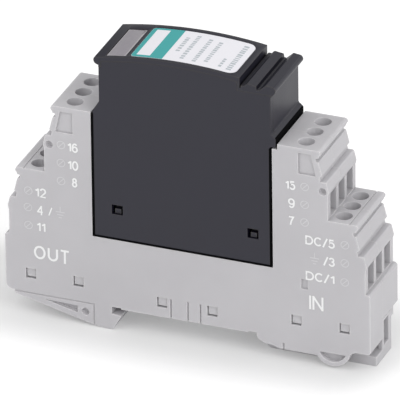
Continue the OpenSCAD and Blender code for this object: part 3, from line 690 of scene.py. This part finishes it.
def painted_floor_shadow(tree):
    """A painted shadow on the floor round the part: its tone rises smoothly with the distance outside a
    rectangle.

    That distance is the length of max(|p - middle| - half, 0)."""
    at = tree.nodes.new("ShaderNodeTexCoord").outputs["Object"]
    for mode, value in (("SUBTRACT", SHADE_MIDDLE), ("ABSOLUTE", None), ("SUBTRACT", SHADE_HALF),
                        ("MAXIMUM", (0.0, 0.0, 0.0))):
        n = tree.nodes.new("ShaderNodeVectorMath")
        n.operation = mode
        tree.links.new(at, n.inputs[0])
        if value:
            n.inputs[1].default_value = value
        at = n.outputs[0]
    away = tree.nodes.new("ShaderNodeVectorMath")
    away.operation = "LENGTH"
    tree.links.new(at, away.inputs[0])
    tone = spread(tree, away.outputs["Value"], SHADE_TONE, 1.0, SHADE_START, SHADE_END)
    tone.node.interpolation_type = "SMOOTHSTEP"
    return tone


def lit_floor():
    """A pale floor: where it is seen, part of its white is its own, so the shadow on it stays soft, and a
    painted shadow darkens it round the part.
    """
    m = bpy.data.materials.new("pale floor")
    m.use_nodes = True
    tree = m.node_tree
    tree.nodes.clear()
    out = tree.nodes.new("ShaderNodeOutputMaterial")
    paper, seen_paper = tree.nodes.new("ShaderNodeBsdfDiffuse"), tree.nodes.new("ShaderNodeBsdfDiffuse")
    paper.inputs["Color"].default_value = (FLOOR_PAPER, FLOOR_PAPER, FLOOR_PAPER, 1)
    own = tree.nodes.new("ShaderNodeEmission")
    own.inputs["Strength"].default_value = FLOOR_GLOW
    # Painted shadow: the tone round the part darkens both the seen colour and the floor's own white.
    tone = painted_floor_shadow(tree)
    shaded = mixed(tree, tone, (0, 0, 0, 1), (FLOOR_SEEN, FLOOR_SEEN, FLOOR_SEEN, 1))
    tree.links.new(shaded, seen_paper.inputs["Color"])
    tree.links.new(tone, own.inputs["Color"])
    both = tree.nodes.new("ShaderNodeAddShader")
    mix = tree.nodes.new("ShaderNodeMixShader")
    tree.links.new(seen_paper.outputs[0], both.inputs[0])
    tree.links.new(own.outputs[0], both.inputs[1])
    tree.links.new(seen_by_eye(tree), mix.inputs[0])
    tree.links.new(paper.outputs[0], mix.inputs[1])
    tree.links.new(both.outputs[0], mix.inputs[2])
    tree.links.new(mix.outputs[0], out.inputs["Surface"])
    return m


def floor():
    """A flat disc at the height of the lowest foot: a grid of points (r cos a, r sin a)."""
    a = np.linspace(0, 2 * np.pi, FLOOR_SIDES, endpoint=False)
    r, a = np.meshgrid(FLOOR_RINGS, a, indexing="ij")
    points = np.stack([r * np.cos(a), r * np.sin(a), 0 * r + FLOOR_Z * MM], -1).reshape(-1, 3)
    mesh = bpy.data.meshes.new("floor")
    mesh.from_pydata(points, [], quads(len(FLOOR_RINGS), FLOOR_SIDES, False, True)[:, ::-1].tolist())
    mesh.materials.append(lit_floor())
    disc = bpy.data.objects.new("floor", mesh)
    bpy.context.scene.collection.objects.link(disc)


def studio_world(light, left, right):
    """A white room: one level for the light it gives, and white to the camera.

    In reflections its strength rises with the X of the direction, as in a room darker on the left."""
    world = bpy.data.worlds.new("studio")
    bpy.context.scene.world = world
    world.use_nodes = True
    tree = world.node_tree
    back = tree.nodes["Background"]
    back.inputs["Color"].default_value = (1, 1, 1, 1)
    apart = tree.nodes.new("ShaderNodeSeparateXYZ")
    tree.links.new(tree.nodes.new("ShaderNodeTexCoord").outputs["Generated"], apart.inputs["Vector"])
    mirrored = spread(tree, apart.outputs["X"], left, right, from_low=-0.6, from_high=0.2)
    path = tree.nodes.new("ShaderNodeLightPath")
    level = light
    for label, value in (("Is Glossy Ray", mirrored), ("Is Camera Ray", 1.0)):
        choose = tree.nodes.new("ShaderNodeMix")
        tree.links.new(path.outputs[label], choose.inputs[0])
        feed(tree, choose.inputs[2], level)
        feed(tree, choose.inputs[3], value)
        level = choose.outputs[0]
    tree.links.new(level, back.inputs["Strength"])


def soft_lamp(name, at, size, watts):
    """A square area lamp that faces the middle of the part."""
    lamp = bpy.data.lights.new(name, "AREA")
    lamp.size, lamp.energy = size, watts
    o = bpy.data.objects.new(name, lamp)
    bpy.context.scene.collection.objects.link(o)
    o.location = at
    o.rotation_mode = "QUATERNION"
    o.rotation_quaternion = (PART_MIDDLE - Vector(at)).to_track_quat("-Z", "Y")


def camera():
    """A long lens at the photograph's azimuth, elevation and roll: location = target + back * distance.

    Lengths are in metres: what the picture spans across the target, and how far the view then moves."""
    azimuth, elevation, roll = math.radians(21.916), math.radians(27.889), math.radians(-0.758)
    distance, across, sensor = 3.0, 0.091711, 36.0
    move_down, move_left = 0.000534, 0.000016
    target = Vector((0, 0, 0.027754))
    flat = math.cos(elevation)
    back = Vector((math.sin(azimuth) * flat, -math.cos(azimuth) * flat, math.sin(elevation)))
    right = Vector((math.cos(azimuth), math.sin(azimuth), 0))
    up = back.cross(right)
    right, up = math.cos(roll) * right + math.sin(roll) * up, -math.sin(roll) * right + math.cos(roll) * up
    lens = bpy.data.cameras.new("camera")
    lens.sensor_width = sensor
    lens.lens = sensor * distance / across
    lens.clip_start, lens.clip_end = 0.1, 20.0
    cam = bpy.data.objects.new("camera", lens)
    bpy.context.scene.collection.objects.link(cam)
    place = Matrix((right, up, back)).transposed().to_4x4()
    place.translation = target - up * move_down - right * move_left + back * distance
    cam.matrix_world = place
    bpy.context.scene.camera = cam


floor()
studio_world(light=0.8, left=0.42, right=1.0)
soft_lamp("right lamp", at=(0.62, -0.42, 0.5), size=0.6, watts=2.4)
soft_lamp("left lamp", at=(-0.4, -0.55, 0.7), size=0.6, watts=1.3)
camera()
bpy.context.scene.view_settings.view_transform = "Standard"
